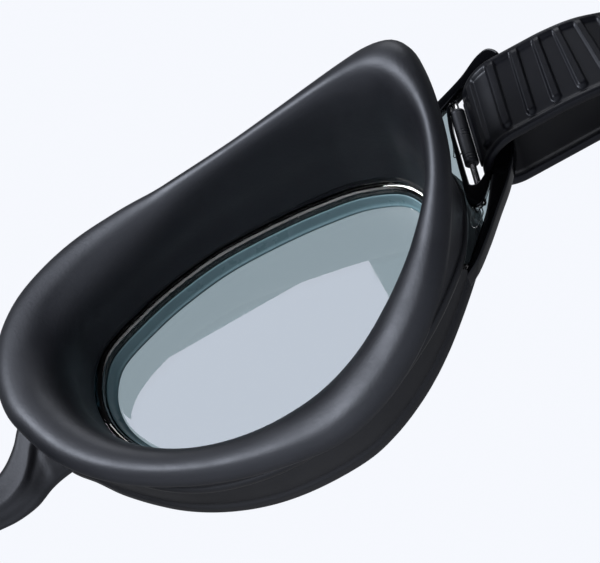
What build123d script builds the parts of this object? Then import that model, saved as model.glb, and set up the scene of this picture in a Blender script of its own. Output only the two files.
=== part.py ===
"""Swim goggles: two eye cups, a nose bridge and one silicone strap that runs round a bar at each temple.

Millimetres. +X is the wearer's left, -Y the way the wearer looks, +Z up. Every sub-part of the left
half is modelled at +X and mirrored for the right half. Depths are first measured from the front datum
(a plane 24 mm in front of the face); save() then moves them so that the origin is on the face plane,
midway between the eyes.
"""
from build123d import *
import math
import os

# ---- driving dimensions -------------------------------------------------------------------------
FACE_DEPTH = 24.0        # front datum to the plane of the face
CUP_X = 42.0             # where the yawed lens plane crosses the unyawed one
LENS_YAW = 6.0           # the temple side of each lens plane lies further back
CUP_CENTRE = (45.0, 3.0)  # x, z of the point that the seal's sections are spaced round

WINDOW_FRONT = 4.0       # depths in the yawed lens frame
WINDOW_THICK = 1.6
LENS_WALL = 1.6
LENS_DRAFT = 1.0
FRAME_FRONT = -0.6
FRAME_REAR = 8.2
FRONT_REVEAL = 0.2       # groove between the surround and the front edge of the window
BEZEL_GROW, BEZEL_RISE = 0.8, 1.8   # the surround's opening flares towards the front, most at the top
LENS_REAR = 8.6
CARRIER_REAR = 10.2

WING_DEPTH = 9.8         # mid depth of the temple loop, the web, the pin and the strap's fold
LOOP_THICK = 2.6
WEB_THICK = 1.4
LEAN = 13.0              # the pin and the fold lean out at the top by this angle
PIN_X = 79.0             # pin axis at the height FOLD_Z
PIN_R = 0.45
PIN_LOW, PIN_HIGH = 2.6, 21.0
ROLLER_R = 1.00
ROLLER_LOW, ROLLER_HIGH = 9.6, 18.3
RUNNING_FIT = 0.05
GROOVE_DEEP = 0.12       # rings round the roller

FOLD_X, FOLD_Z = 85.8, 12.0
FOLD_R = 4.2             # inside radius of the strap's fold
STRAP_THICK = 1.4
STRAP_LOW, STRAP_HIGH = 6.0, 19.0
BEND_X, BEND_R = 104.0, 26.0   # the strap leaves straight outwards, then bends back
BACK_R = 94.0            # large arc round the back of the head
TAIL_GAP = 0.5           # between the tail and the strap it lies on
TAIL_JOIN, TAIL_END = 32.0, 54.0   # degrees round the bend
FOLD_STUB = 6.0          # straight part of the leaning fold on each layer
SWING_R = 43.2           # the strap's swinging end is cut on a cylinder of this radius
SWING_GAP = 0.15
KEEPER_AT = 44.0         # degrees round the bend
KEEPER_LONG, KEEPER_WALL, KEEPER_GAP = 5.0, 1.2, 0.3
FLOOR_Z = -24.7          # lowest point of the seals and of the strap's back
DROOP_TURN = 75.0        # degrees round the back over which the strap sinks to the floor
SPLIT_TURN = 35.0        # degrees round the back where the strap divides into two strands
STRAND_GAP = 8.0         # how far the strands spread at the back
SLIT = 0.8
BEND_CENTRE = (BEND_X, WING_DEPTH - FOLD_R - STRAP_THICK + BEND_R)
BACK_CENTRE = (BEND_X + BEND_R - BACK_R, BEND_CENTRE[1])
TAIL_R = BEND_R - 2 * STRAP_THICK - TAIL_GAP   # inside of the tail along the bend

# ---- outlines in the lens plane: x, z ------------------------------------------------------------
RIM = [(19.2, 5.0), (20.2, 9.6), (23.5, 14.1), (31.2, 17.0), (37.4, 18.2), (44.0, 18.7), (51.7, 18.1),
       (59.1, 16.9), (66.0, 14.9), (71.5, 11.0), (73.2, 5.6), (70.3, -1.6), (65.0, -6.8), (58.8, -10.9),
       (52.0, -13.9), (45.0, -14.9), (37.0, -14.2), (29.5, -11.3), (23.5, -6.2), (20.0, 0.0)]
FRAME = [(11.4, 6.8), (14.4, 1.6), (17.2, -2.7), (23.5, -9.5), (30.6, -14.1), (38.0, -16.6), (47.5, -17.3),
         (52.4, -16.6), (58.2, -14.4), (64.0, -10.7), (71.6, -3.7), (75.0, 0.6), (76.9, 6.0), (76.6, 12.0),
         (74.0, 16.6), (66.0, 19.9), (58.0, 21.3), (50.0, 22.3), (42.0, 22.6), (34.0, 22.0), (27.0, 20.2),
         (20.0, 17.0), (14.0, 12.2)]
LOOP_OUTER = [(69.0, -7.2), (71.8, -5.4), (74.8, -2.7), (78.2, 0.8), (81.3, 4.0), (83.9, 7.5), (85.9, 12.5),
              (87.9, 17.5), (89.6, 22.3), (89.9, 24.2), (88.9, 25.4), (87.2, 25.0), (83.4, 22.9),
              (78.9, 20.9), (75.0, 19.3), (71.5, 17.9)]
LOOP_INNER = [(71.5, 16.0), (75.0, 17.3), (79.6, 19.2), (83.4, 20.9), (85.7, 21.3), (86.5, 20.2),
              (85.0, 16.5), (83.2, 12.0), (81.6, 8.0), (80.9, 6.4), (79.9, 5.2), (78.6, 4.8), (75.9, 4.9),
              (74.4, 2.8), (72.9, -0.2), (71.0, -3.0)]
WEB_TOP = [(69.6, 0.0), (70.5, 12.0), (71.5, 16.7), (75.0, 18.0)]
WEB_LOW = [(75.2, 1.8), (73.6, -1.4), (71.8, -4.0)]
# lip of the seal: x, z of its outer edge, about every 15 degrees round the cup's centre from +X
LIP_OUTER = [(76.3, 3.0), (77.7, 11.8), (75.6, 17.2), (63.0, 19.9), (54.6, 20.8), (49.8, 21.6), (45.0, 22.5),
             (39.3, 23.8), (33.0, 24.2), (24.6, 23.2), (15.8, 19.0), (10.6, 12.2), (9.6, 3.0), (12.4, -5.0),
             (17.2, -11.0), (23.6, -16.4), (31.6, -20.8), (38.4, -23.3), (45.0, -24.7), (52.0, -23.6),
             (59.6, -20.0), (64.6, -16.0), (68.6, -10.9), (73.0, -4.2)]
BRIDGE = [(14.5, 13.2), (10.0, 12.6), (7.6, 10.2), (4.6, 7.4), (0.0, 6.4), (-4.6, 7.4), (-7.6, 10.2),
          (-10.0, 12.6), (-14.5, 13.2), (-16.5, 5.0), (-14.0, 1.0), (-9.0, 1.7), (-5.6, 0.5), (0.0, 0.2),
          (5.6, 0.5), (9.0, 1.7), (14.0, 1.0), (16.5, 5.0)]
BRIDGE_FRONT, BRIDGE_REAR = 0.6, 4.4
TALL = 200.0             # longer than anything it cuts


def lip_depth(x, z):
    """Depth of the seal's lip: it wraps back round the temple and rises towards the brow corner."""
    return 17.0 + 0.0026 * max(x - 8.0, 0.0) ** 2 + 0.0035 * max(x - 40.0, 0.0) * max(z + 10.0, 0.0)


def yawed_point(x, depth, z):
    """Point of the yawed lens frame, seen in the unyawed one."""
    turn = math.radians(LENS_YAW)
    along = x - CUP_X
    return Vector(CUP_X + along * math.cos(turn) - depth * math.sin(turn),
                  along * math.sin(turn) + depth * math.cos(turn), z)


def inset(points, amount):
    """Move each point of a closed counter-clockwise or clockwise outline inwards by amount."""
    centre_x, centre_z = CUP_CENTRE
    moved = []
    for i, (x, z) in enumerate(points):
        before, after = points[i - 1], points[(i + 1) % len(points)]
        tangent_x, tangent_z = after[0] - before[0], after[1] - before[1]
        size = math.hypot(tangent_x, tangent_z)
        normal_x, normal_z = -tangent_z / size, tangent_x / size
        inward = 1.0 if normal_x * (centre_x - x) + normal_z * (centre_z - z) > 0 else -1.0
        moved.append((x + inward * amount * normal_x, z + inward * amount * normal_z))
    return moved


def outline(points, depth):
    """Closed smooth wire through x, z points, at one depth."""
    return Wire([Edge.make_spline([(x, depth, z) for x, z in points], periodic=True)])


def slab(points, front, rear):
    """Plate with a smooth closed outline between two depths."""
    return Solid.extrude(Face(outline(points, front)), Vector(0, rear - front, 0))


def polygon_plate(points, front, rear):
    """Plate with a straight-sided outline between two depths."""
    wire = Wire.make_polygon([(x, front, z) for x, z in points], close=True)
    return Solid.extrude(Face(wire), Vector(0, rear - front, 0))


def cup(front_points, front, rear_points, rear):
    """Solid between two smooth outlines at two depths."""
    return Solid.make_loft([outline(front_points, front), outline(rear_points, rear)], True)


def yaw(shape):
    """Turn a shape of the lens frame about the upright line through CUP_X."""
    return shape.rotate(Axis((CUP_X, 0, 0), (0, 0, 1)), LENS_YAW)


def lean_axis(x):
    """Leaning line through x at the fold's middle height."""
    angle = math.radians(LEAN)
    return Axis((x, WING_DEPTH, FOLD_Z), (math.sin(angle), 0, math.cos(angle)))


def rod(x, radius, low, high):
    """Round bar along the leaning line through x, between two heights."""
    axis = lean_axis(x)
    rise = axis.direction.Z
    start = axis.position + axis.direction * ((low - FOLD_Z) / rise)
    return Solid.make_cylinder(radius, (high - low) / rise, Plane(start, z_dir=axis.direction))


def lens_cup(grow=0.0):
    """Outer form of the lens cup, grown by a clearance."""
    front = inset(RIM, LENS_DRAFT - grow)
    return yaw(cup(front, WINDOW_FRONT - grow, inset(RIM, -grow), LENS_REAR + grow))


def lens_hollow():
    """Space behind the window."""
    front = inset(RIM, LENS_DRAFT + LENS_WALL)
    return yaw(cup(front, WINDOW_FRONT + WINDOW_THICK, inset(RIM, LENS_WALL), LENS_REAR + 1.0))


def web():
    """Panel of lens material between the cup and the pin; its edges run into the temple loop."""
    edge_x = PIN_X - ROLLER_R - 0.3
    slot = [(edge_x + (z - FOLD_Z) * math.tan(math.radians(LEAN)), z) for z in (19.4, 4.2)]
    boundary = WEB_TOP + slot + WEB_LOW
    return polygon_plate(boundary, WING_DEPTH - WEB_THICK / 2, WING_DEPTH + WEB_THICK / 2)


def lens():
    """Lens: flat window, drafted wall and the temple web, moulded in one."""
    return lens_cup() + (web() - loop_blank()) - lens_hollow()


def loop_blank():
    """Temple loop before its pin holes: the strap's fold runs round its outer bar."""
    front, rear = WING_DEPTH - LOOP_THICK / 2, WING_DEPTH + LOOP_THICK / 2
    outer = Edge.make_spline([(x, front, z) for x, z in LOOP_OUTER])
    inner = Edge.make_spline([(x, front, z) for x, z in LOOP_INNER])
    ends = [Edge.make_line(outer @ 1, inner @ 0), Edge.make_line(inner @ 1, outer @ 0)]
    return Solid.extrude(Face(Wire([outer, ends[0], inner, ends[1]])), Vector(0, rear - front, 0))


def temple_loop():
    """Temple loop with the two holes that hold the pin."""
    return loop_blank() - rod(PIN_X, PIN_R, PIN_LOW, PIN_HIGH)


def frame():
    """Soft surround of the lens: a flared bezel in front, and open at the temple for the web and the loop."""
    body = yaw(slab(FRAME, FRAME_FRONT, FRAME_REAR))
    flared = [(x, z + BEZEL_RISE) for x, z in inset(RIM, -BEZEL_GROW)]
    window_edge = inset(RIM, LENS_DRAFT - FRONT_REVEAL)
    opening = yaw(cup(flared, FRAME_FRONT - 0.3, window_edge, WINDOW_FRONT + 0.4))
    return body - opening - lens_cup() - web() - loop_blank()


def carrier():
    """Stiff ring that the soft seal is moulded on."""
    ring = slab(inset(RIM, -3.0), LENS_REAR, CARRIER_REAR) - slab(inset(RIM, 0.4), 0.0, 20.0)
    return yaw(ring)


def lip_point(index):
    """Outer edge of the lip at one of the stations round the cup."""
    x, z = LIP_OUTER[index]
    return Vector(x, lip_depth(x, z), z)


def rim_point(index, grow, depth):
    """Where the ray to a lip station crosses the rim outline grown by an amount."""
    centre_x, centre_z = CUP_CENTRE
    lip = lip_point(index)
    angle = math.atan2(lip.Z - centre_z, lip.X - centre_x)
    wire = outline(inset(RIM, -grow), 0.0)
    ray = Edge.make_line((centre_x, 0, centre_z),
                         (centre_x + 60 * math.cos(angle), 0, centre_z + 60 * math.sin(angle)))
    hit = wire.edges()[0].intersect(ray).vertices()[0]
    return yawed_point(hit.X, depth, hit.Z)


def seal_section(index):
    """Closed section of the seal at one station: base, funnel, rolled lip, neck."""
    lip = lip_point(index)
    base_in = rim_point(index, -0.2, CARRIER_REAR)
    base_out = rim_point(index, 2.6, CARRIER_REAR)
    inward = Vector(base_in.X - lip.X, 0, base_in.Z - lip.Z).normalized()
    reach = Vector(lip.X - base_in.X, 0, lip.Z - base_in.Z).length
    crest = lip + inward * min(3.6, 0.45 * reach) + Vector(0, 1.0, 0)
    funnel = base_in + inward * (-0.42 * reach) + Vector(0, 0.62 * (lip.Y - base_in.Y), 0)
    under = lip + inward * 1.0 + Vector(0, -2.4, 0)
    neck = base_out + inward * (-0.25 * max(reach - 2.6, 0.5)) + Vector(0, 0.45 * (lip.Y - base_out.Y), 0)
    return Wire.make_polygon([base_in, funnel, crest, lip, under, neck, base_out], close=True)


def seal():
    """Soft seal as two lofted halves that share their end sections."""
    count = len(LIP_OUTER)
    sections = [seal_section(i) for i in range(count)]
    half = count // 2
    first = Solid.make_loft(sections[:half + 1])
    second = Solid.make_loft(sections[half:] + sections[:1])
    return first.fuse(second, tol=0.01)


def pin():
    """Steel pin held in the temple loop."""
    return rod(PIN_X, PIN_R, PIN_LOW, PIN_HIGH)


def roller():
    """Grooved roller that turns on the pin and bears on the strap's fold."""
    body = rod(PIN_X, ROLLER_R, ROLLER_LOW, ROLLER_HIGH)
    for i in range(8):
        low = ROLLER_LOW + 0.8 + i * 1.05
        body -= rod(PIN_X, ROLLER_R + 0.1, low, low + 0.35) - rod(PIN_X, ROLLER_R - GROOVE_DEEP, low, low + 0.35)
    return body - rod(PIN_X, PIN_R + RUNNING_FIT, ROLLER_LOW - 1.0, ROLLER_HIGH + 1.0)


def plan_arc(centre, radius, start, end):
    """Arc edge seen from above; its angles are in degrees from -Y towards +X."""
    points = []
    for angle in (start, (start + end) / 2, end):
        turn = math.radians(angle)
        points.append((centre[0] + radius * math.sin(turn), centre[1] - radius * math.cos(turn), 0))
    return Edge.make_three_point_arc(*points)


def band(inner, outer):
    """Flat face between two chains of plan edges that run the same way."""
    start = Edge.make_line(outer[0] @ 0, inner[0] @ 0)
    end = Edge.make_line(inner[-1] @ 1, outer[-1] @ 1)
    return Face(Wire([start] + inner + [end] + outer))


def main_band():
    """Plan of the strap from the fold outwards, round the bend and round the back to the mid plane."""
    front = WING_DEPTH - FOLD_R
    chains = []
    for radius in (BEND_R - STRAP_THICK, BEND_R):
        y = BEND_CENTRE[1] - radius
        straight = Edge.make_line((FOLD_X + FOLD_STUB / 2, y, 0), (BEND_X, y, 0))
        turn = plan_arc(BEND_CENTRE, radius, 0, 90)
        round_back = plan_arc(BACK_CENTRE, radius + BACK_R - BEND_R, 90, 180)
        last = round_back @ 1
        across = Edge.make_line(last, (0, last.Y, 0))
        chains.append([straight, turn, round_back, across])
    return band(*chains)


def tail_band():
    """Plan of the strap's free tail: from the fold outwards and along the inside of the bend."""
    chains = []
    for layer in (0.0, STRAP_THICK):
        y = WING_DEPTH + FOLD_R + STRAP_THICK - layer
        arc = plan_arc(BEND_CENTRE, TAIL_R + layer, TAIL_JOIN, TAIL_END)
        swoop = Edge.make_spline([(FOLD_X + FOLD_STUB / 2, y, 0), (BEND_X - 6.0, y - 0.4, 0), arc @ 0],
                                 tangents=[(1, 0, 0), arc % 0])
        chains.append([swoop, arc])
    return band(*chains)


def fold_band():
    """Plan of the half turn round the loop's outer bar, with a straight stub on each layer."""
    chains = []
    for radius in (FOLD_R, FOLD_R + STRAP_THICK):
        turn = plan_arc((FOLD_X, WING_DEPTH), radius, 180, 360)
        rear, front = turn @ 0, turn @ 1
        stub = Vector(FOLD_STUB, 0, 0)
        chains.append([Edge.make_line(rear + stub, rear), turn, Edge.make_line(front, front + stub)])
    return band(*chains)


def upright(face, low, high, lean=0.0):
    """Extrude a plan face between two heights, leaning out at the top by an angle."""
    shift = math.tan(math.radians(lean))
    moved = face.moved(Location((shift * (low - FOLD_Z), 0, low)))
    return Solid.extrude(moved, Vector(shift * (high - low), 0, high - low))


def swing_cylinder(radius):
    """Everything nearer to the fold's axis than a radius."""
    return rod(FOLD_X, radius, -90.0, 110.0)


def strap_end():
    """Swinging end of the strap: fold, tail and the first stretch of the strap."""
    fold = upright(fold_band(), STRAP_LOW, STRAP_HIGH, LEAN)
    tail = upright(tail_band(), STRAP_LOW, STRAP_HIGH)
    main = upright(main_band(), STRAP_LOW, STRAP_HIGH) & swing_cylinder(SWING_R - SWING_GAP)
    return fold + tail + main


def keeper():
    """Loop that holds the tail against the strap."""
    turn = math.radians(KEEPER_AT)
    radius = BEND_R - (2 * STRAP_THICK + TAIL_GAP) / 2
    centre = (BEND_CENTRE[0] + radius * math.sin(turn), BEND_CENTRE[1] - radius * math.cos(turn),
              (STRAP_LOW + STRAP_HIGH) / 2)
    place = Location(centre, (0, 0, KEEPER_AT))
    hole_deep = 2 * STRAP_THICK + TAIL_GAP + 2 * KEEPER_GAP
    hole_high = STRAP_HIGH - STRAP_LOW + 2 * KEEPER_GAP
    outer = Box(KEEPER_LONG, hole_deep + 2 * KEEPER_WALL, hole_high + 2 * KEEPER_WALL)
    outer = fillet(outer.edges().filter_by(Axis.X), 0.9)
    return (place * (outer - Box(2 * KEEPER_LONG, hole_deep, hole_high))).solids()[0]


def droop(turn):
    """Height of the strap's lower edge and how far its strands are apart, at an angle round the back."""
    part = min(turn / DROOP_TURN, 1.0)
    apart = min(max((turn - SPLIT_TURN) / (DROOP_TURN - SPLIT_TURN), 0.0), 1.0)
    height = STRAP_LOW + (FLOOR_Z - STRAP_LOW) * part * part * (3 - 2 * part)
    return height, STRAND_GAP * apart * apart * (3 - 2 * apart)


def side_edge(offset, spread, start):
    """Edge of the strap's side view, from an angle round the back to behind the strap."""
    steps = [start + (DROOP_TURN - start) * i / 8 for i in range(9)]
    points = []
    for turn in steps:
        height, apart = droop(turn)
        points.append((0, BACK_CENTRE[1] + BACK_R * math.sin(math.radians(turn)), height + offset + spread * apart))
    last = points[-1]
    return [Edge.make_spline(points), Edge.make_line(last, (0, TALL, last[2]))]


def side_sheet(low, high):
    """Solid across the left half between two side-view edges."""
    start = Edge.make_line(high[0] @ 0, low[0] @ 0)
    end = Edge.make_line(low[-1] @ 1, high[-1] @ 1)
    return Solid.extrude(Face(Wire([start] + low + [end] + high)), Vector(TALL, 0, 0))


def strap_back_half():
    """Left half of the strap's back: it droops to the level of the seals and divides into two strands."""
    width = STRAP_HIGH - STRAP_LOW
    strand = (width - SLIT) / 2
    upright_band = upright(main_band(), -TALL, TALL) - swing_cylinder(SWING_R + SWING_GAP)
    level = Solid.make_box(TALL, BACK_CENTRE[1], width, Plane((0, 0, STRAP_LOW)))
    body = level + side_sheet(side_edge(0.0, 0.0, 0.0), side_edge(width, 1.0, 0.0))
    slit = side_sheet(side_edge(strand, 0.0, SPLIT_TURN), side_edge(strand + SLIT, 1.0, SPLIT_TURN))
    return upright_band & (body - slit)


def strap_back():
    """Back of the strap, both halves in one piece."""
    half = strap_back_half()
    return half + half.mirror(Plane.YZ)


def nose_bridge(frames):
    """Soft bridge between the two surrounds."""
    body = slab(BRIDGE, BRIDGE_FRONT, BRIDGE_REAR)
    for surround in frames:
        body -= surround
    return body


def save(shape, node):
    """Write one node with the origin on the face plane."""
    solid = shape.moved(Location((0, -FACE_DEPTH, 0)))
    solid.label = node
    export_step(solid, "parts/" + node + ".step")


def main():
    """Write every node."""
    os.makedirs("parts", exist_ok=True)
    makers = {
        "lens": lens,
        "frame": frame,
        "seal_carrier": carrier,
        "seal": seal,
        "temple_loop": temple_loop,
        "pin": pin,
        "roller": roller,
        "strap_end": strap_end,
        "keeper": keeper,
    }
    frames = []
    for name, maker in makers.items():
        left = maker()
        right = left.mirror(Plane.YZ)
        save(left, "left_" + name)
        save(right, "right_" + name)
        if name == "frame":
            frames = [left, right]
    save(nose_bridge(frames), "nose_bridge")
    save(strap_back(), "strap_back")


main()
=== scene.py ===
"""Looks of a pair of swim goggles: soft seals, smoke lenses, temple loops and a ribbed silicone strap.

Outlines are in millimetres on the +X half: x outwards from the nose, z up, and depth from the front
datum, which lies 24 mm in front of the face plane. place() turns them into the frame's metres and
mirrors them for the right half.
"""
import math

import bmesh
import bpy
import numpy as np
from mathutils import Matrix, Vector


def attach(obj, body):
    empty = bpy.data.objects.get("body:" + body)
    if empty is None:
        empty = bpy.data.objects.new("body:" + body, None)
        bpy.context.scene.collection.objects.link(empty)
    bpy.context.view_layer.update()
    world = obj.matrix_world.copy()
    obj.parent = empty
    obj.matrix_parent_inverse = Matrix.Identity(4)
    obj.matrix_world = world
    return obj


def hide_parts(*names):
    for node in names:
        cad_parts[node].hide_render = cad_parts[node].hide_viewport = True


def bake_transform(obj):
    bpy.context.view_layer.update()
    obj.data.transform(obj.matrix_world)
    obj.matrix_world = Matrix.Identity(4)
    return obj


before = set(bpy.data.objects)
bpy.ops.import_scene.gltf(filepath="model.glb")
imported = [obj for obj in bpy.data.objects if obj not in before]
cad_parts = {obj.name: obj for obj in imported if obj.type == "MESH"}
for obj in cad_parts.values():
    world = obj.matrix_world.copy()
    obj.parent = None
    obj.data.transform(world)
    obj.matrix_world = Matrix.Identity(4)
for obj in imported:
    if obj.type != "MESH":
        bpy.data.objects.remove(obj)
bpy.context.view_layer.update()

MM = 0.001
FACE_DEPTH = 24.0
CUP_X = 42.0
CUP_CENTRE = (45.0, 3.0)
LENS_YAW = math.radians(6.0)
WING_DEPTH = 9.8
LEAN = math.tan(math.radians(13.0))
SIDES = {"left": 1.0, "right": -1.0}
AROUND = 208
DOUBLED = 1e-6           # points closer than this, in metres, are one

# ---- outlines: x, z -------------------------------------------------------------------------------
RIM = [(19.2, 5.0), (20.2, 9.6), (23.5, 14.1), (31.2, 17.0), (37.4, 18.2), (44.0, 18.7), (51.7, 18.1),
       (59.1, 16.9), (66.0, 14.9), (71.5, 11.0), (73.2, 5.6), (70.3, -1.6), (65.0, -6.8), (58.8, -10.9),
       (52.0, -13.9), (45.0, -14.9), (37.0, -14.2), (29.5, -11.3), (23.5, -6.2), (20.0, 0.0)]
FRAME = [(11.4, 6.8), (14.4, 1.6), (17.2, -2.7), (23.5, -9.5), (30.6, -14.1), (38.0, -16.6), (47.5, -17.3),
         (52.2, -16.3), (57.8, -13.8), (63.4, -10.0), (71.0, -3.0), (74.6, 1.0), (76.9, 6.0), (76.6, 12.0),
         (74.0, 16.6), (66.0, 19.9), (58.0, 21.3), (50.0, 22.3), (42.0, 22.6), (34.0, 22.0), (27.0, 20.2),
         (20.0, 17.0), (14.0, 12.2)]
LIP = [(9.1, 6.2), (9.9, 1.8), (12.2, -4.4), (16.3, -10.2), (22.9, -15.9), (31.4, -20.6), (40.9, -23.7),
       (47.7, -24.6), (54.0, -23.1), (60.0, -19.9), (65.2, -15.4), (70.3, -8.5), (74.3, -1.4), (76.4, 4.9),
       (77.5, 10.8), (77.4, 14.4), (76.0, 16.8), (73.5, 18.1), (69.8, 18.9), (65.0, 19.6), (59.5, 20.3),
       (53.1, 21.2), (47.0, 22.4), (40.0, 24.0), (34.4, 24.8), (28.0, 24.8), (22.3, 23.6), (17.0, 21.2),
       (12.8, 17.3), (10.0, 12.1)]
# the two edges of the temple loop and of the slot's black liner, point by point opposite each other
LOOP_OUTER = [(70.0, -6.5), (71.8, -5.4), (74.8, -2.7), (78.2, 0.8), (81.3, 4.0), (83.9, 7.5), (85.9, 12.5),
              (87.8, 17.5), (89.2, 21.7), (89.3, 23.4), (88.4, 24.5), (86.8, 24.3), (83.2, 22.4),
              (78.9, 20.7), (75.0, 19.3), (71.5, 17.9)]
LOOP_INNER = [(70.6, -5.2), (71.6, -4.0), (73.9, -1.6), (76.7, 1.5), (79.3, 5.4), (81.4, 8.6), (83.3, 12.3),
              (85.1, 16.7), (86.3, 19.8), (86.4, 20.6), (86.1, 21.1), (85.5, 21.3), (83.2, 20.8),
              (79.6, 19.3), (75.0, 17.5), (71.5, 16.3)]
LINER_OUTER = [(79.5, 19.4), (78.3, 16.2), (77.2, 12.2), (76.2, 8.2), (75.3, 3.6), (76.4, 2.8), (78.6, 4.8),
               (80.6, 7.4)]
LINER_INNER = [(80.1, 19.4), (78.8, 16.2), (77.85, 12.2), (76.95, 8.2), (76.7, 6.4), (77.6, 6.0), (78.8, 6.6),
               (79.9, 7.6)]


# ---- curves and meshes ----------------------------------------------------------------------------
def through(points, closed, steps=12):
    """Dense smooth curve through points (centripetal Catmull-Rom)."""
    p = np.array(points, float)
    if closed:
        p = np.vstack([p[-1], p, p[:2]])
    else:
        p = np.vstack([2 * p[0] - p[1], p, 2 * p[-1] - p[-2]])
    out = []
    for a, b, c, d in zip(p, p[1:], p[2:], p[3:]):
        t0 = 0.0
        t1 = t0 + max(np.linalg.norm(b - a), 1e-9) ** 0.5
        t2 = t1 + max(np.linalg.norm(c - b), 1e-9) ** 0.5
        t3 = t2 + max(np.linalg.norm(d - c), 1e-9) ** 0.5
        for t in np.linspace(t1, t2, steps, endpoint=False):
            ab = (t1 - t) / (t1 - t0) * a + (t - t0) / (t1 - t0) * b
            bc = (t2 - t) / (t2 - t1) * b + (t - t1) / (t2 - t1) * c
            cd = (t3 - t) / (t3 - t2) * c + (t - t2) / (t3 - t2) * d
            abc = (t2 - t) / (t2 - t0) * ab + (t - t0) / (t2 - t0) * bc
            bcd = (t3 - t) / (t3 - t1) * bc + (t - t1) / (t3 - t1) * cd
            out.append((t2 - t) / (t2 - t1) * abc + (t - t1) / (t2 - t1) * bcd)
    if not closed:
        out.append(p[-2])
    return np.array(out)


def spaced(points, count, closed):
    """count points evenly spaced along a dense curve."""
    p = np.vstack([points, points[:1]]) if closed else points
    along = np.concatenate([[0], np.cumsum(np.linalg.norm(np.diff(p, axis=0), axis=1))])
    at = np.linspace(0, along[-1], count, endpoint=not closed)
    return np.stack([np.interp(at, along, p[:, k]) for k in range(p.shape[1])], 1)


def loop_curve(points, count=AROUND):
    """Evenly spaced closed curve through outline points."""
    return spaced(through(points, True), count, True)


def path_curve(points, count):
    """Evenly spaced open curve through points."""
    return spaced(through(points, False), count, False)


def polar(points, angles, centre=CUP_CENTRE):
    """Radius of a closed outline round a centre at the given angles."""
    p = through(points, True) - np.array(centre)
    turn, radius = np.arctan2(p[:, 1], p[:, 0]), np.hypot(p[:, 0], p[:, 1])
    order = np.argsort(turn)
    return np.interp(angles, turn[order], radius[order], period=2 * math.pi)


def lip_depth(x, z):
    """Depth of the seal's lip, which wraps back round the temple."""
    return 17.0 + 0.0026 * np.maximum(x - 8, 0) ** 2 + 0.0035 * np.maximum(x - 40, 0) * np.maximum(z + 10, 0)


def yawed(x, depth, z):
    """Points of the yawed lens frame as x, depth, z of the goggles."""
    along = x - CUP_X
    return np.stack([CUP_X + along * math.cos(LENS_YAW) - depth * math.sin(LENS_YAW),
                     along * math.sin(LENS_YAW) + depth * math.cos(LENS_YAW),
                     z * np.ones_like(x)], -1)


def place(points, side):
    """x, depth, z in millimetres to the frame's metres, on one side."""
    p = np.asarray(points, float) * MM
    return np.stack([p[..., 0] * side, p[..., 1] - FACE_DEPTH * MM, p[..., 2]], -1)


def inward(curve):
    """Unit normals of an evenly spaced closed curve, towards its inside."""
    tangent = np.roll(curve, -1, 0) - np.roll(curve, 1, 0)
    tangent /= np.linalg.norm(tangent, axis=1)[:, None]
    normal = np.stack([-tangent[:, 1], tangent[:, 0]], 1)
    facing = np.einsum("ij,ij->i", normal, np.array(CUP_CENTRE) - curve)
    return normal * np.sign(facing.sum())


def settle(obj, smooth=True):
    """Merge doubled points, make the normals consistent and set the shading."""
    work = bmesh.new()
    work.from_mesh(obj.data)
    bmesh.ops.remove_doubles(work, verts=work.verts, dist=DOUBLED)
    bmesh.ops.recalc_face_normals(work, faces=work.faces)
    work.to_mesh(obj.data)
    work.free()
    for polygon in obj.data.polygons:
        polygon.use_smooth = smooth
    return obj


def mesh_object(name, vertices, faces, smooth=True):
    """New object from vertices and faces."""
    mesh = bpy.data.meshes.new(name)
    mesh.from_pydata([tuple(v) for v in vertices], [], faces)
    mesh.update()
    obj = bpy.data.objects.new(name, mesh)
    bpy.context.scene.collection.objects.link(obj)
    return settle(obj, smooth)


def grid_faces(rows, columns, wrap_rows, wrap_columns):
    """Quads of a grid of rows by columns."""
    faces = []
    for i in range(rows if wrap_rows else rows - 1):
        for j in range(columns if wrap_columns else columns - 1):
            a, b = i * columns + j, i * columns + (j + 1) % columns
            c, d = (i + 1) % rows * columns + (j + 1) % columns, (i + 1) % rows * columns + j
            faces.append((a, b, c, d))
    return faces


def skin(name, grid, side, wrap_rows=False, wrap_columns=True, caps=False):
    """Surface over a grid of points in millimetres; caps close the first and last row."""
    rows, columns = grid.shape[:2]
    faces = grid_faces(rows, columns, wrap_rows, wrap_columns)
    if caps:
        faces.append(tuple(range(columns)))
        faces.append(tuple((rows - 1) * columns + j for j in range(columns)))
    return mesh_object(name, place(grid, side).reshape(-1, 3), faces)


def dress(obj, material, body, slot, *nodes):
    """Give a piece its material, body and the CAD nodes that it stands for; the slot argument is not used."""
    obj.data.materials.clear()
    obj.data.materials.append(material)
    if nodes:
        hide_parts(*nodes)
    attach(obj, body)
    return obj


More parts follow.
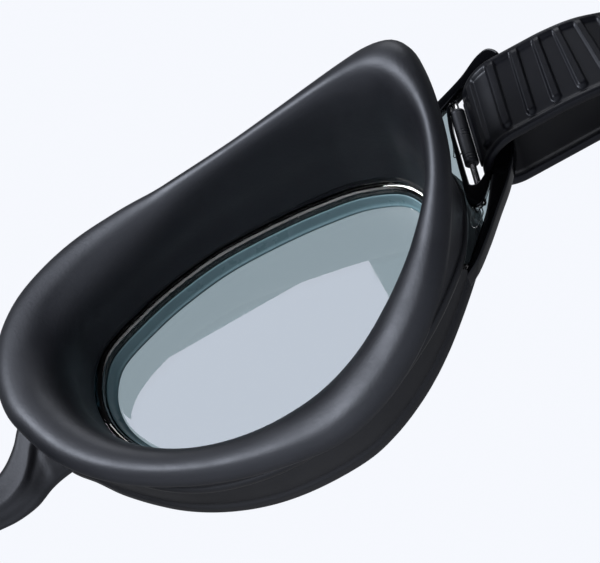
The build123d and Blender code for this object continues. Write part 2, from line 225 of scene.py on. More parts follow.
# ---- materials ----------------------------------------------------------------------------------
COOL = (0.80, 0.86, 1.0, 1.0)        # tint of the sheen of the black parts--
class Nodes:
    """Small helper that adds and links shader nodes."""

    def __init__(self, name):
        self.material = bpy.data.materials.new(name)
        self.material.use_nodes = True
        self.tree = self.material.node_tree
        self.shader = self.tree.nodes["Principled BSDF"]
        self.coordinates = self.add("ShaderNodeTexCoord").outputs["Object"]

    def add(self, kind, **settings):
        node = self.tree.nodes.new(kind)
        for key, value in settings.items():
            if key in node.inputs:
                node.inputs[key].default_value = value
            else:
                setattr(node, key, value)
        return node

    def link(self, output, target):
        self.tree.links.new(output, target)

    def noise(self, scale, detail=2.0, roughness=0.5):
        node = self.add("ShaderNodeTexNoise", Scale=scale, Detail=detail, Roughness=roughness)
        self.link(self.coordinates, node.inputs["Vector"])
        return node.outputs["Fac"]

    def spread(self, value, low, high):
        """Map 0.3 to 0.7 of a noise to low to high."""
        node = self.add("ShaderNodeMapRange")
        for key, number in zip(("From Min", "From Max", "To Min", "To Max"), (0.3, 0.7, low, high)):
            node.inputs[key].default_value = number
        self.link(value, node.inputs["Value"])
        return node.outputs["Result"]

    def mix(self, value, first, second):
        node = self.add("ShaderNodeMix", data_type="RGBA")
        node.inputs["A"].default_value = (*first, 1)
        node.inputs["B"].default_value = (*second, 1)
        self.link(value, node.inputs["Factor"])
        return node.outputs["Result"]

    def bump(self, layers):
        """Stack of bumps: (height output, distance in millimetres)."""
        normal = None
        for height, distance in layers:
            node = self.add("ShaderNodeBump", Strength=1.0, Distance=distance * MM)
            self.link(height, node.inputs["Height"])
            if normal is not None:
                self.link(normal, node.inputs["Normal"])
            normal = node.outputs["Normal"]
        self.link(normal, self.shader.inputs["Normal"])

    def set(self, **values):
        for key, value in values.items():
            self.shader.inputs[key.replace("_", " ")].default_value = value


def soft_material(name, dark, light, rough, grain, sheen=0.36):
    """Matte moulded silicone or rubber: fine grain, faint dust and uneven sheen."""
    n = Nodes(name)
    patches = n.noise(55.0, 4.0, 0.6)
    n.link(n.mix(n.spread(patches, 0.0, 1.0), dark, light), n.shader.inputs["Base Color"])
    n.link(n.spread(n.noise(140.0, 5.0, 0.65), rough - 0.06, rough + 0.06), n.shader.inputs["Roughness"])
    n.set(Specular_IOR_Level=sheen, Specular_Tint=COOL)
    n.bump([(n.noise(2600.0, 3.0, 0.6), grain), (n.noise(320.0, 2.0), grain * 1.5)])
    return n.material


def gloss_material(name, color, rough):
    """Glossy moulded plastic with faint flow marks and handling haze."""
    n = Nodes(name)
    n.link(n.mix(n.spread(n.noise(90.0, 3.0), 0, 1), color, tuple(c * 1.6 for c in color)),
           n.shader.inputs["Base Color"])
    n.link(n.spread(n.noise(260.0, 5.0, 0.7), rough, rough + 0.09), n.shader.inputs["Roughness"])
    n.set(Specular_IOR_Level=0.3, Specular_Tint=COOL)
    n.bump([(n.noise(180.0, 2.0), 0.02)])
    return n.material


def lens_material(name, color, density):
    """Smoke polycarbonate: the tint builds up with thickness, so the walls look darker than the window."""
    n = Nodes(name)
    n.link(n.mix(n.spread(n.noise(24.0, 2.0), 0, 1), (0.93, 0.95, 0.95), (0.96, 0.97, 0.97)),
           n.shader.inputs["Base Color"])
    n.link(n.spread(n.noise(500.0, 4.0), 0.0, 0.02), n.shader.inputs["Roughness"])
    n.set(Transmission_Weight=1.0, Specular_IOR_Level=0.5)
    n.shader.inputs["IOR"].default_value = 1.85
    absorption = n.add("ShaderNodeVolumeAbsorption", Density=density)
    absorption.inputs["Color"].default_value = (*color, 1)
    n.link(absorption.outputs["Volume"], n.tree.nodes["Material Output"].inputs["Volume"])
    return n.material


def steel_material():
    """Bright drawn steel."""
    n = Nodes("pin_steel")
    n.link(n.mix(n.spread(n.noise(400.0, 3.0), 0, 1), (0.62, 0.62, 0.64), (0.78, 0.78, 0.8)),
           n.shader.inputs["Base Color"])
    n.link(n.spread(n.noise(900.0, 4.0), 0.12, 0.24), n.shader.inputs["Roughness"])
    n.set(Metallic=1.0)
    n.bump([(n.noise(1500.0, 2.0), 0.01)])
    return n.material


SEAL = soft_material("seal_silicone", (0.0018, 0.0020, 0.0032), (0.0028, 0.0031, 0.0048), 0.5, 0.02, 0.5)
SURROUND = soft_material("frame_soft", (0.0034, 0.0035, 0.0042), (0.0050, 0.0051, 0.0060), 0.42, 0.012)
BRIDGE_SOFT = soft_material("bridge_soft", (0.0042, 0.0043, 0.0052), (0.0062, 0.0063, 0.0075), 0.44, 0.012)
CARRIER = soft_material("carrier_plastic", (0.0025, 0.0026, 0.0032), (0.0040, 0.0041, 0.0050), 0.34, 0.008)
STRAP = soft_material("strap_silicone", (0.0016, 0.0018, 0.0028), (0.0026, 0.0028, 0.0044), 0.4, 0.006, 0.2)
KEEPER = soft_material("keeper_silicone", (0.0038, 0.0040, 0.0052), (0.0056, 0.0058, 0.0074), 0.38, 0.008)
ROLLER = soft_material("roller_matte", (0.0040, 0.0042, 0.0055), (0.0060, 0.0063, 0.0082), 0.45, 0.010)
LOOP = gloss_material("loop_gloss", (0.0010, 0.0011, 0.0015), 0.05)
LENS = lens_material("lens_smoke", (0.13, 0.286, 0.334), 700.0)
# painted tint and shade: opaque teal for the darker look of light crossing the lens wall's thickness
PAINTED_WALL_TINT = soft_material("lens_wall_painted_tint", (0.100, 0.172, 0.200), (0.124, 0.206, 0.238), 0.3, 0.004)
LENS_LINE = lens_material("lens_line", (0.02, 0.04, 0.05), 9000.0)
STEEL = steel_material()


# ---- seal -----------------------------------------------------------------------------------------
SEAL_BASE = 10.2         # depth of the seal's base in the yawed lens frame
# inside of the profile: share of the reach from rim to lip, share of the height, then offsets in mm
SEAL_PROFILE = [(0.00, 0.00, -1.0, -1.35), (0.00, 0.02, -0.9, -0.8), (0.00, 0.28, -0.2, 0.0),
                (0.03, 0.52, -0.1, 0.0),
                (0.12, 0.76, 0.0, 0.1), (0.26, 0.92, 0.0, 0.4), (0.44, 0.99, 0.0, 0.9),
                (0.66, 1.00, 0.0, 1.15), (0.86, 1.00, -0.2, 0.95), (1.00, 1.00, -0.65, 0.35),
                (1.00, 1.00, -0.1, -0.4),
                (1.00, 1.00, 0.0, -1.1), (1.00, 1.00, -0.7, -2.1), (0.80, 0.98, -0.8, -2.2),
                (0.55, 0.86, 0.3, -2.2), (0.40, 0.62, 0.9, -1.2), (0.22, 0.36, 1.8, -0.4),
                (0.10, 0.20, 2.3, 0.0), (0.00, 0.10, 2.9, 0.0), (0.00, 0.00, 3.0, 0.0)]


def seal_grid():
    """Rows of the seal's section from the lens rim over the rolled lip and down to the base."""
    lip = loop_curve(LIP)
    angle = np.arctan2(lip[:, 1] - CUP_CENTRE[1], lip[:, 0] - CUP_CENTRE[0])
    outward = np.stack([np.cos(angle), np.zeros(AROUND), np.sin(angle)], 1)
    radius = polar(RIM, angle)
    base = yawed(CUP_CENTRE[0] + radius * np.cos(angle), SEAL_BASE, CUP_CENTRE[1] + radius * np.sin(angle))
    edge = np.stack([lip[:, 0], lip_depth(lip[:, 0], lip[:, 1]), lip[:, 1]], 1)
    reach = np.einsum("ij,ij->i", edge - base, outward)
    height = edge[:, 1] - base[:, 1]
    sections = []
    for i in range(AROUND):
        section = [base[i] + outward[i] * (share * reach[i] + shift)
                   + np.array([0, rise * height[i] + lift, 0])
                   for share, rise, shift, lift in SEAL_PROFILE]
        sections.append(path_curve(section, 44))
    return np.array(sections)


def make_seal(name, side):
    piece = skin(name + "_seal_skin", seal_grid(), side, wrap_rows=True, wrap_columns=True)
    dress(piece, SEAL, "goggles", "seal_silicone", name + "_seal")


# ---- lens -----------------------------------------------------------------------------------------
# section of the cup from the window's inside over the wall's rim to the window's outside: inset, depth
LENS_SECTION = [(5.0, 5.6), (4.6, 5.6), (4.0, 5.6), (3.5, 5.6), (2.9, 5.65), (2.5, 5.85), (2.3, 6.3),
                (2.15, 7.0), (1.95, 7.8), (1.75, 8.35),
                (1.4, 8.6), (0.6, 8.65), (0.15, 8.5), (0.0, 8.1), (0.3, 6.4), (0.75, 4.5), (0.95, 4.15),
                (1.4, 4.0), (2.6, 4.0), (4.0, 4.0), (4.6, 4.0), (5.0, 4.0)]
# section of the opaque teal band that lines the wall, a painted tint and shade for the darker look of light
# through the wall's thickness: inset, depth
PAINTED_WALL_TINT_SECTION = [(2.98, 5.72), (2.72, 5.86), (2.55, 6.2), (2.4, 7.0), (2.2, 7.7), (2.1, 7.6), (2.25, 6.9),
                (2.4, 6.1), (2.75, 5.64)]
PANEL_THICK, PANEL_CHAMFER, PANEL_AROUND = 1.4, 0.12, 420
PANEL = [(71.0, 13.0), (71.9, 16.4), (75.0, 18.0), (79.4, 19.9), (83.6, 21.6), (86.6, 22.6), (87.6, 21.6),
         (86.0, 16.2), (84.0, 11.6), (82.2, 7.6), (80.0, 4.2), (77.2, 1.4), (74.0, -2.4), (71.2, -4.6),
         (69.6, -2.6), (71.4, 3.0), (71.4, 8.0)]
SLOT = [(79.5, 18.9), (83.0, 20.6), (85.2, 21.0), (85.9, 19.6), (84.4, 15.8), (82.6, 11.6), (81.0, 8.0),
        (79.4, 5.8), (77.8, 4.0), (76.6, 2.9), (75.7, 2.8), (75.6, 4.2), (76.4, 8.2), (77.4, 12.2),
        (78.5, 16.2)]
SLOT_CENTRE = (79.6, 10.5)
# fine moulded lines on the rear of the panel: x, z
PANEL_LINES = [[(79.4, 17.6), (78.3, 15.2), (77.1, 12.2), (76.8, 11.5), (77.4, 11.3), (78.2, 11.7)],
               [(75.4, 3.0), (76.3, 2.4), (76.2, 1.6), (75.3, 0.6), (74.4, 0.0), (74.0, 0.3), (74.4, 1.6),
                (75.4, 3.0)]]
LINE_R = 0.09


def lens_grid():
    """Rows of the lens cup's section round the rim outline."""
    rim = loop_curve(RIM)
    normal = inward(rim)
    rows = []
    for inset, depth in path_curve(LENS_SECTION, 80):
        ring = rim + normal * inset
        rows.append(yawed(ring[:, 0], depth, ring[:, 1]))
    return np.array(rows)


def painted_wall_tint_grid():
    """Thin opaque teal band that lines the inside of the wall: painted tint and shade standing in for the
    darker teal that light takes through the wall's thickness.
    """
    rim = loop_curve(RIM)
    normal = inward(rim)
    section = spaced(through(PAINTED_WALL_TINT_SECTION, True, 4), 20, True)
    rows = []
    for inset, depth in section:
        ring = rim + normal * inset
        rows.append(yawed(ring[:, 0], depth, ring[:, 1]))
    return np.array(rows)


def slotted_plate(name, outline, hole, centre, front, rear, side):
    """Flat plate with one hole and fine chamfers; both outlines are seen whole from the centre."""
    angles = np.linspace(-math.pi, math.pi, PANEL_AROUND, endpoint=False)
    ray = np.stack([np.cos(angles), np.sin(angles)], 1)
    outer, inner = polar(outline, angles, centre), polar(hole, angles, centre)
    edge = PANEL_CHAMFER
    section = ((outer, front + edge), (outer, rear - edge), (outer - edge, rear), (inner + edge, rear),
               (inner, rear - edge), (inner, front + edge), (inner + edge, front), (outer - edge, front))
    rows = []
    for radius, depth in section:
        ring = np.array(centre) + ray * radius[:, None]
        rows.append(np.stack([ring[:, 0], np.full(len(ring), depth), ring[:, 1]], 1))
    piece = skin(name, np.array(rows), side, wrap_rows=True)
    return settle(piece, smooth=False)


def tube(name, points, radius, side, count=8):
    """Thin round bead along x, depth, z points in millimetres."""
    path = path_curve(points, 40)
    tangent = np.gradient(path, axis=0)
    tangent /= np.linalg.norm(tangent, axis=1)[:, None]
    across = np.cross(tangent, (0.0, 1.0, 0.0))
    across /= np.linalg.norm(across, axis=1)[:, None]
    over = np.cross(across, tangent)
    turn = np.linspace(0, 2 * math.pi, count, endpoint=False)
    ring = across[:, None] * np.cos(turn)[None, :, None] + over[:, None] * np.sin(turn)[None, :, None]
    return skin(name, path[:, None] + radius * ring, side, caps=True)


def make_lens(name, side):
    cup = skin(name + "_lens_cup", lens_grid(), side, caps=True)
    dress(cup, LENS, "goggles", "lens_smoke", name + "_lens")
    # opaque teal band inside the wall: painted tint and shade for light passing through the wall's thickness
    wall = skin(name + "_lens_wall_painted_tint", painted_wall_tint_grid(), side, wrap_rows=True)
    dress(wall, PAINTED_WALL_TINT, "goggles", "lens_smoke", name + "_lens")
    front, rear = WING_DEPTH - PANEL_THICK / 2, WING_DEPTH + PANEL_THICK / 2
    panel = slotted_plate(name + "_lens_panel", PANEL, SLOT, SLOT_CENTRE, front, rear, side)
    dress(panel, LENS, "goggles", "lens_smoke", name + "_lens")
    for number, line in enumerate(PANEL_LINES, 1):
        bead = tube(f"{name}_panel_line_{number}", [(x, rear, z) for x, z in line], LINE_R, side)
        dress(bead, LENS_LINE, "goggles", "lens_smoke", name + "_lens")


# ---- surround, carrier ----------------------------------------------------------------------------
# section of the surround: which outline it is measured from, offset outwards, depth
SURROUND_SECTION = [("rim", -0.85, 4.4), ("rim", -0.85, 3.9), ("rim", -0.6, 3.5), ("bezel", -0.25, 0.2),
                    ("bezel", 0.05, -0.35), ("bezel", 0.45, -0.6), ("out", -0.75, -0.6), ("out", -0.3, -0.35),
                    ("out", 0.0, 0.2), ("out", 0.0, 0.95), ("out", -0.1, 1.5), ("out", -0.42, 1.75),
                    ("out", -0.45, 2.4), ("out", -0.55, 4.4), ("out", -0.8, 6.4), ("out", -1.1, 7.5),
                    ("out", -1.7, 8.1), ("out", -2.6, 8.2), ("rim", 0.3, 8.2), ("rim", 0.15, 7.8),
                    ("rim", -0.1, 6.4), ("rim", -0.5, 4.7)]
BEZEL_GROW, BEZEL_RISE = 0.8, 1.8


def surround_grid():
    """Rows of the soft surround's section between the rim and its own outline."""
    out = loop_curve(FRAME)
    angle = np.arctan2(out[:, 1] - CUP_CENTRE[1], out[:, 0] - CUP_CENTRE[0])
    ray = np.stack([np.cos(angle), np.sin(angle)], 1)
    rim = np.array(CUP_CENTRE) + ray * polar(RIM, angle)[:, None]
    rim_normal, out_normal = -inward(rim), -inward(out)
    bezel = rim + rim_normal * BEZEL_GROW + np.array([0, BEZEL_RISE])
    starts = {"rim": (rim, rim_normal), "bezel": (bezel, rim_normal), "out": (out, out_normal)}
    rows = []
    for place_name, offset, depth in SURROUND_SECTION:
        points, normal = starts[place_name]
        ring = points + normal * offset
        rows.append(yawed(ring[:, 0], depth, ring[:, 1]))
    sections = np.array(rows).transpose(1, 0, 2)
    smooth = [spaced(through(section, True, 5), 90, True) for section in sections]
    return np.array(smooth)


def make_surround(name, side):
    piece = skin(name + "_surround", surround_grid(), side, wrap_rows=True)
    dress(piece, SURROUND, "goggles", "frame_soft", name + "_frame")


# section of the ring: offset outwards from the rim, depth
CARRIER_SECTION = [(-0.9, 8.8), (0.3, 8.72), (1.6, 8.3), (2.7, 8.5), (3.15, 9.1), (3.1, 9.9), (2.4, 10.2),
                   (1.2, 10.2), (0.2, 10.1), (-0.6, 9.6), (-0.95, 9.1)]


def make_carrier(name, side):
    rim = loop_curve(RIM)
    normal = -inward(rim)
    rows = []
    for offset, depth in spaced(through(CARRIER_SECTION, True, 4), 24, True):
        ring = rim + normal * offset
        rows.append(yawed(ring[:, 0], depth, ring[:, 1]))
    piece = skin(name + "_carrier_ring", np.array(rows), side, wrap_rows=True)
    dress(piece, CARRIER, "goggles", "carrier_plastic", name + "_seal_carrier")


# ---- temple loop ----------------------------------------------------------------------------------
LOOP_FRONT, LOOP_REAR, LOOP_ROUND = 8.5, 11.1, 0.5
LINER_FRONT, LINER_REAR, LINER_ROUND = 8.8, 10.75, 0.22


CORNER_STEPS = 7         # points on each rounded edge of a bar


def ribbon(name, first, second, front, rear, radius, side):
    """Flat bar with rounded edges between two opposite edge lines."""
    a, b = through(first, False), through(second, False)
    across = b - a
    width = np.linalg.norm(across, axis=1)
    across /= width[:, None]
    half = (rear - front) / 2
    rows = []
    for i, start in enumerate(a):
        r = min(radius, width[i] * 0.45, half)
        ring = []
        far = width[i] - r
        low, high = front + r, rear - r
        corners = ((far, high, 0), (far, low, 90), (r, low, 180), (r, high, 270))
        for along, inside, turn in corners:
            for angle in np.radians(np.linspace(turn, turn + 90, CORNER_STEPS)):
                point = start + across[i] * (along + r * math.sin(angle))
                ring.append((point[0], inside + r * math.cos(angle), point[1]))
        rows.append(ring)
    return skin(name, np.array(rows), side, caps=True)


def make_loop(name, side):
    bow = ribbon(name + "_loop_bow", LOOP_OUTER, LOOP_INNER, LOOP_FRONT, LOOP_REAR, LOOP_ROUND, side)
    dress(bow, LOOP, "goggles", "loop_gloss", name + "_temple_loop")
    liner = ribbon(name + "_slot_liner", LINER_OUTER, LINER_INNER, LINER_FRONT, LINER_REAR, LINER_ROUND,
                   side)
    dress(liner, LOOP, "goggles", "loop_gloss", name + "_temple_loop")


# ---- pin, roller ----------------------------------------------------------------------------------
PIN_X = 79.0
# height up from the fold's middle height, radius
PIN_PROFILE = [(-9.4, 0.02), (-9.35, 0.25), (-9.1, 0.4), (-8.8, 0.45), (9.0, 0.45), (9.2, 0.35), (9.25, 0.02)]
ROLLER_LOW, ROLLER_HIGH, ROLLER_R = -2.4, 6.3, 1.0
RING_AT = (-1.7, -1.2, 1.9, 2.35, 2.8, 5.7)
RING_WIDE, RING_DEEP = 0.12, 0.07


def lathe(name, profile, side, count=48):
    """Turned piece round the leaning pin line; profile of height, radius."""
    turn = np.linspace(0, 2 * math.pi, count, endpoint=False)
    lean = math.atan(LEAN)
    rows = []
    for height, radius in profile:
        along = height / math.cos(lean)
        x = PIN_X + along * math.sin(lean) + radius * np.cos(turn) * math.cos(lean)
        z = FOLD_Z + along * math.cos(lean) - radius * np.cos(turn) * math.sin(lean)
        rows.append(np.stack([x, WING_DEPTH + radius * np.sin(turn), z], 1))
    return skin(name, np.array(rows), side, caps=True)


def make_pin(name, side):
    dress(lathe(name + "_pin_rod", PIN_PROFILE, side), STEEL, "goggles", "pin_steel", name + "_pin")


def make_roller(name, side):
    edge, bore, hold = 0.15, 0.52, 0.03
    profile = [(ROLLER_LOW, bore), (ROLLER_LOW, ROLLER_R - edge), (ROLLER_LOW + edge, ROLLER_R)]
    for height in RING_AT:
        profile += [(height - RING_WIDE - hold, ROLLER_R), (height - RING_WIDE, ROLLER_R),
                    (height - RING_WIDE / 2, ROLLER_R - RING_DEEP),
                    (height + RING_WIDE / 2, ROLLER_R - RING_DEEP),
                    (height + RING_WIDE, ROLLER_R), (height + RING_WIDE + hold, ROLLER_R)]
    profile += [(ROLLER_HIGH - edge, ROLLER_R), (ROLLER_HIGH, ROLLER_R - edge), (ROLLER_HIGH, bore)]
    piece = lathe(name + "_roller_barrel", profile, side)
    dress(piece, ROLLER, name + "_roller", "roller_matte", name + "_roller")


# ---- nose bridge ----------------------------------------------------------------------------------
BRIDGE_TOP = [(0, 6.4), (2.5, 6.6), (4.6, 7.6), (6.9, 9.7), (8.6, 12.0), (10.5, 13.2), (14.5, 13.4)]
BRIDGE_LOW = [(0, 0.3), (3.0, 0.1), (6.2, 0.6), (9.0, 1.9), (11.8, 2.6), (14.5, 2.8)]
BRIDGE_RIDGE = [(0, 1.7), (1.3, 1.7), (4.2, 2.2), (6.3, 3.4), (8.2, 5.7), (9.4, 7.6), (11.0, 8.6),
                (14.5, 9.0)]


def make_bridge():
    across = np.linspace(-14.5, 14.5, 81)
    edges = []
    for points in (BRIDGE_TOP, BRIDGE_LOW, BRIDGE_RIDGE):
        dense = through(points, False)
        edges.append(np.interp(np.abs(across), dense[:, 0], dense[:, 1]))
    rows = []
    for x, top, low, ridge in zip(across, *edges):
        rear = 3.6 + 0.9 * min(abs(x) / 10, 1) ** 2
        front = 0.6 - 0.3 * (1 - min(abs(x) / 10, 1))
        section = [(top - 0.1, rear - 0.7), (top - 0.7, rear - 0.05), ((top + ridge) / 2, rear),
                   (ridge + 0.7, rear), (ridge + 0.15, rear - 0.1), (ridge - 0.15, rear - 0.55),
                   ((ridge + low) / 2, rear - 1.1),
                   (low + 0.35, rear - 1.9), (low, (rear + front) / 2 - 0.4), (low + 0.5, front + 0.1),
                   ((top + low) / 2, front - 0.15), (top - 0.6, front + 0.1), (top, (rear + front) / 2)]
        dense = spaced(through(section, True, 6), 48, True)
        rows.append(np.stack([np.full(48, x), dense[:, 1], dense[:, 0]], 1))
    piece = skin("nose_bridge_skin", np.array(rows), 1.0, caps=True)
    dress(piece, BRIDGE_SOFT, "goggles", "bridge_soft", "nose_bridge")


# ---- strap ----------------------------------------------------------------------------------------
STRAP_LOW, STRAP_HIGH, STRAP_THICK = 6.7, 19.7, 1.4
FOLD_X, FOLD_Z, FOLD_R = 85.8, 12.0, 4.2
BEND_X, BEND_R, BACK_R = 104.0, 26.0, 94.0
BEND_CENTRE = (BEND_X, WING_DEPTH - FOLD_R - STRAP_THICK + BEND_R)
BACK_CENTRE = (BEND_X + BEND_R - BACK_R, BEND_CENTRE[1])
LAYER_GAP = 0.5          # between the tail and the strap outside it
TAIL_R = BEND_R - 2 * STRAP_THICK - LAYER_GAP
TAIL_JOIN, TAIL_END = 32.0, 54.0
DROOP_TURN, SPLIT_TURN = 75.0, 35.0
FLOOR_Z, STRAND_GAP, SLIT = -24.7, 8.0, 0.8
EDGE_WIDE, PANEL_DEEP, INNER_DEEP = 1.2, 0.35, 0.12     # raised edge and the sunk panel between the edges
RIB_PITCH, RIB_WIDE, RIB_TALL = 3.6, 1.15, 0.15      # the ribs stand a little above the band's edges
RIB_LOW = 1.9            # where the ribs stop short of the band's lower edge
RIBBED_PAST_FOLD = 19.8
RIB_ROWS = 0.16          # spacing of the mesh rows under the ribs
TAIL_CORNER = 3.0
MIDDLE_ROWS = (24.0, 12.0, 0.3, 0.1, 0.0)      # last mesh rows of the back, towards the mid plane
KEEPER_AT = 44.0
KEEPER_LONG, KEEPER_WALL, KEEPER_GAP = 5.0, 1.2, 0.3


def step(value):
    """Smooth step from 0 to 1."""
    part = np.clip(value, 0.0, 1.0)
    return part * part * (3 - 2 * part)


def arc(centre, radius, start, end, count):
    """Plan points on an arc; angles in degrees from -Y towards +X."""
    turn = np.radians(np.linspace(start, end, count))
    return np.stack([centre[0] + radius * np.sin(turn), centre[1] - radius * np.cos(turn)], 1)


def strap_route():
    """Plan centreline from tail to mid plane, its angles round the back, and the fold's length."""
    half = STRAP_THICK / 2
    rear = WING_DEPTH + FOLD_R + half
    on_bend = arc(BEND_CENTRE, TAIL_R + half, TAIL_END, TAIL_JOIN, 5)
    swoop = [(113.2, 9.1), (110.0, 9.2), (105.5, 11.0), (99.5, 13.7), (94.0, rear - 0.1), (90.0, rear)]
    dense = path_curve([*on_bend, *swoop, (FOLD_X, rear)], 900)
    tail = spaced(dense, int(path_length(dense) / RIB_ROWS), False)
    fold = arc((FOLD_X, WING_DEPTH), FOLD_R + half, 180, 360, 96)
    out = np.linspace(fold[-1], (BEND_X, WING_DEPTH - FOLD_R - half), 110)
    bend = arc(BEND_CENTRE, BEND_R - half, 0, 90, 50)
    back = arc(BACK_CENTRE, BACK_R - half, 90, 180, 150)
    last = np.array([[x, back[-1][1]] for x in MIDDLE_ROWS])
    stretches = [tail, fold[1:], out[1:], bend[1:], back[1:], last]
    turn = [np.zeros(len(s)) for s in stretches]
    turn[4] = np.linspace(0, 90, 150)[1:]
    turn[5] = np.full(len(last), 90.0)
    return np.vstack(stretches), np.concatenate(turn), path_length(tail) + path_length(fold)


def path_length(points):
    return float(np.linalg.norm(np.diff(points, axis=0), axis=1).sum())


def across_band(width):
    """Stations across a band, closer together near its edges."""
    edge = [0.0, 0.03, 0.1, 0.2, 0.34, 0.5, 0.7, 0.95]
    middle = np.linspace(EDGE_WIDE, width - EDGE_WIDE, 44)
    return np.array([*edge, *middle, *(width - np.array(edge[::-1]))])


def rib_height(along, across, width):
    """Share of the ribs over the panel: rounded bars, one every RIB_PITCH, that run into the upper edge."""
    centre = (np.floor(along / RIB_PITCH) + 0.5) * RIB_PITCH
    corner = RIB_WIDE / 2 - 0.1
    over_length = np.maximum(np.abs(along - centre) - (RIB_WIDE / 2 - corner), 0)
    over_width = np.maximum(RIB_LOW + corner - across, 0)
    return step((0.12 - np.hypot(over_length, over_width) + corner) / 0.24)


def band_rings(route, low, high, ribbed, tail_end=False):
    """Closed sections of a band along a plan route, between two heights; ribs where ribbed is 1."""
    tangent = np.gradient(route, axis=0)
    tangent /= np.linalg.norm(tangent, axis=1)[:, None]
    outside = np.stack([tangent[:, 1], -tangent[:, 0]], 1)
    along = np.concatenate([[0], np.cumsum(np.linalg.norm(np.diff(route, axis=0), axis=1))])
    lean = LEAN * (1 - step((route[:, 0] - FOLD_X - 3) / 14)) * (route[:, 1] < BEND_CENTRE[1])
    rings = []
    for i, point in enumerate(route):
        width = high[i] - low[i]
        across = across_band(width)
        near = np.minimum(across, width - across)
        end = math.sqrt(1 - (1 - min(along[i] / 0.5 + 0.02, 1)) ** 2) if tail_end else 1.0
        round_edge = STRAP_THICK / 2 * end * np.sqrt(1 - (1 - np.minimum(near / 0.5, 1)) ** 2)
        sunk = step((near - EDGE_WIDE + 0.3) / 0.4)
        rib = ribbed[i] * rib_height(along[i], across, width)
        outer = round_edge + sunk * (rib * (PANEL_DEEP + RIB_TALL) - PANEL_DEEP)
        inner = -round_edge + sunk * INNER_DEEP
        offset = np.concatenate([outer, inner[-2:0:-1]])
        height = low[i] + np.concatenate([across, across[-2:0:-1]])
        x = point[0] + outside[i, 0] * offset + lean[i] * (height - FOLD_Z)
        rings.append(np.stack([x, point[1] + outside[i, 1] * offset, height], 1))
    return np.array(rings)


def make_strap(name, side):
    route, turn, to_fold = strap_route()
    width = STRAP_HIGH - STRAP_LOW
    strand = (width - SLIT) / 2
    low = STRAP_LOW + (FLOOR_Z - STRAP_LOW) * step(turn / DROOP_TURN)
    spread = STRAND_GAP * step((turn - SPLIT_TURN) / (DROOP_TURN - SPLIT_TURN))
    along = np.concatenate([[0], np.cumsum(np.linalg.norm(np.diff(route, axis=0), axis=1))])
    to_corner = np.clip(TAIL_CORNER - along, 0, TAIL_CORNER)
    cut = TAIL_CORNER - np.sqrt(TAIL_CORNER ** 2 - to_corner ** 2 + 1e-9)
    ribbed = (along < to_fold + RIBBED_PAST_FOLD).astype(float)
    split = int(np.searchsorted(turn, SPLIT_TURN))
    whole = slice(0, split + 1)
    rings = band_rings(route[whole], (low + cut)[whole], (low + width - cut)[whole], ribbed, tail_end=True)
    pieces = [skin(name + "_strap_band", rings, side, caps=True)]
    rest = slice(split, None)
    for part, base in (("lower", low), ("upper", low + strand + SLIT + spread)):
        rings = band_rings(route[rest], base[rest], (base + strand)[rest], np.zeros(len(route)))
        pieces.append(skin(f"{name}_strap_{part}_strand", rings, side, caps=True))
    for piece in pieces:
        dress_strap(piece, name)


def dress_strap(piece, name):
    """Give a strap piece its material, hide the CAD strap end and strap back, and bake its placement into the
    mesh.
    """
    piece.data.materials.append(STRAP)
    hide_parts(name + "_strap_end", "strap_back")
    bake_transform(piece)


def make_keeper(name, side):
    """Soft loop round both layers of the strap."""
    turn = math.radians(KEEPER_AT)
    radius = BEND_R - (2 * STRAP_THICK + LAYER_GAP) / 2
    centre = np.array([BEND_CENTRE[0] + radius * math.sin(turn), BEND_CENTRE[1] - radius * math.cos(turn)])
    outward, along = np.array([math.sin(turn), -math.cos(turn)]), np.array([math.cos(turn), math.sin(turn)])
    deep = STRAP_THICK + LAYER_GAP / 2 + KEEPER_GAP + KEEPER_WALL / 2
    high = (STRAP_HIGH - STRAP_LOW) / 2 + KEEPER_GAP + KEEPER_WALL / 2
    corner = 0.9
    path = [(deep, -high + corner), (deep, high - corner), (deep - corner, high), (corner - deep, high),
            (-deep, high - corner), (-deep, corner - high), (corner - deep, -high), (deep - corner, -high)]
    loop = np.array(path)
    normal = np.array([(1, 0), (1, 0), (0, 1), (0, 1), (-1, 0), (-1, 0), (0, -1), (0, -1)], float)
    dense_loop, dense_normal = rounded_loop(loop, normal, 6)
    rows = []
    for (u, v), (a, b) in zip(dense_loop, dense_normal):
        ring = []
        for along_strap, out_of_wall in keeper_section():
            flat = centre + outward * (u + a * out_of_wall) + along * along_strap
            ring.append((flat[0], flat[1], (STRAP_LOW + STRAP_HIGH) / 2 + v + b * out_of_wall))
        rows.append(ring)
    piece = skin(name + "_keeper_loop", np.array(rows), side, wrap_rows=True)
    dress(piece, KEEPER, name + "_strap", "keeper_silicone", name + "_keeper")


def rounded_loop(points, normals, steps):
    """Follow straight sides and quarter-turn corners; returns the points and their outward normals."""
    out, facing = [], []
    for i in range(0, len(points), 2):
        for share in np.linspace(0, 1, 12, endpoint=False):
            out.append(points[i] + share * (points[i + 1] - points[i]))
            facing.append(normals[i])
        after = (i + 2) % len(points)
        pivot = points[i + 1] - normals[i] * np.abs(points[after] - points[i + 1]).max()
        reach = np.abs(points[after] - points[i + 1]).max()
        for angle in np.linspace(0, math.pi / 2, steps, endpoint=False):
            way = normals[i] * math.cos(angle) + normals[after] * math.sin(angle)
            out.append(pivot + way * reach)
            facing.append(way)
    return np.array(out), np.array(facing)


def keeper_section():
    """Section of the keeper's wall along the strap: rounded, with a raised band at each side."""
    half, wall = KEEPER_LONG / 2, KEEPER_WALL / 2
    points = [(-half, 0.0), (-half + 0.25, wall - 0.1), (-half + 0.9, wall), (-half + 1.3, wall - 0.22),
              (half - 1.3, wall - 0.22), (half - 0.9, wall), (half - 0.25, wall - 0.1), (half, 0.0),
              (half - 0.3, 0.1 - wall), (0.0, -wall), (0.3 - half, 0.1 - wall)]
    return spaced(through(points, True, 5), 36, True)


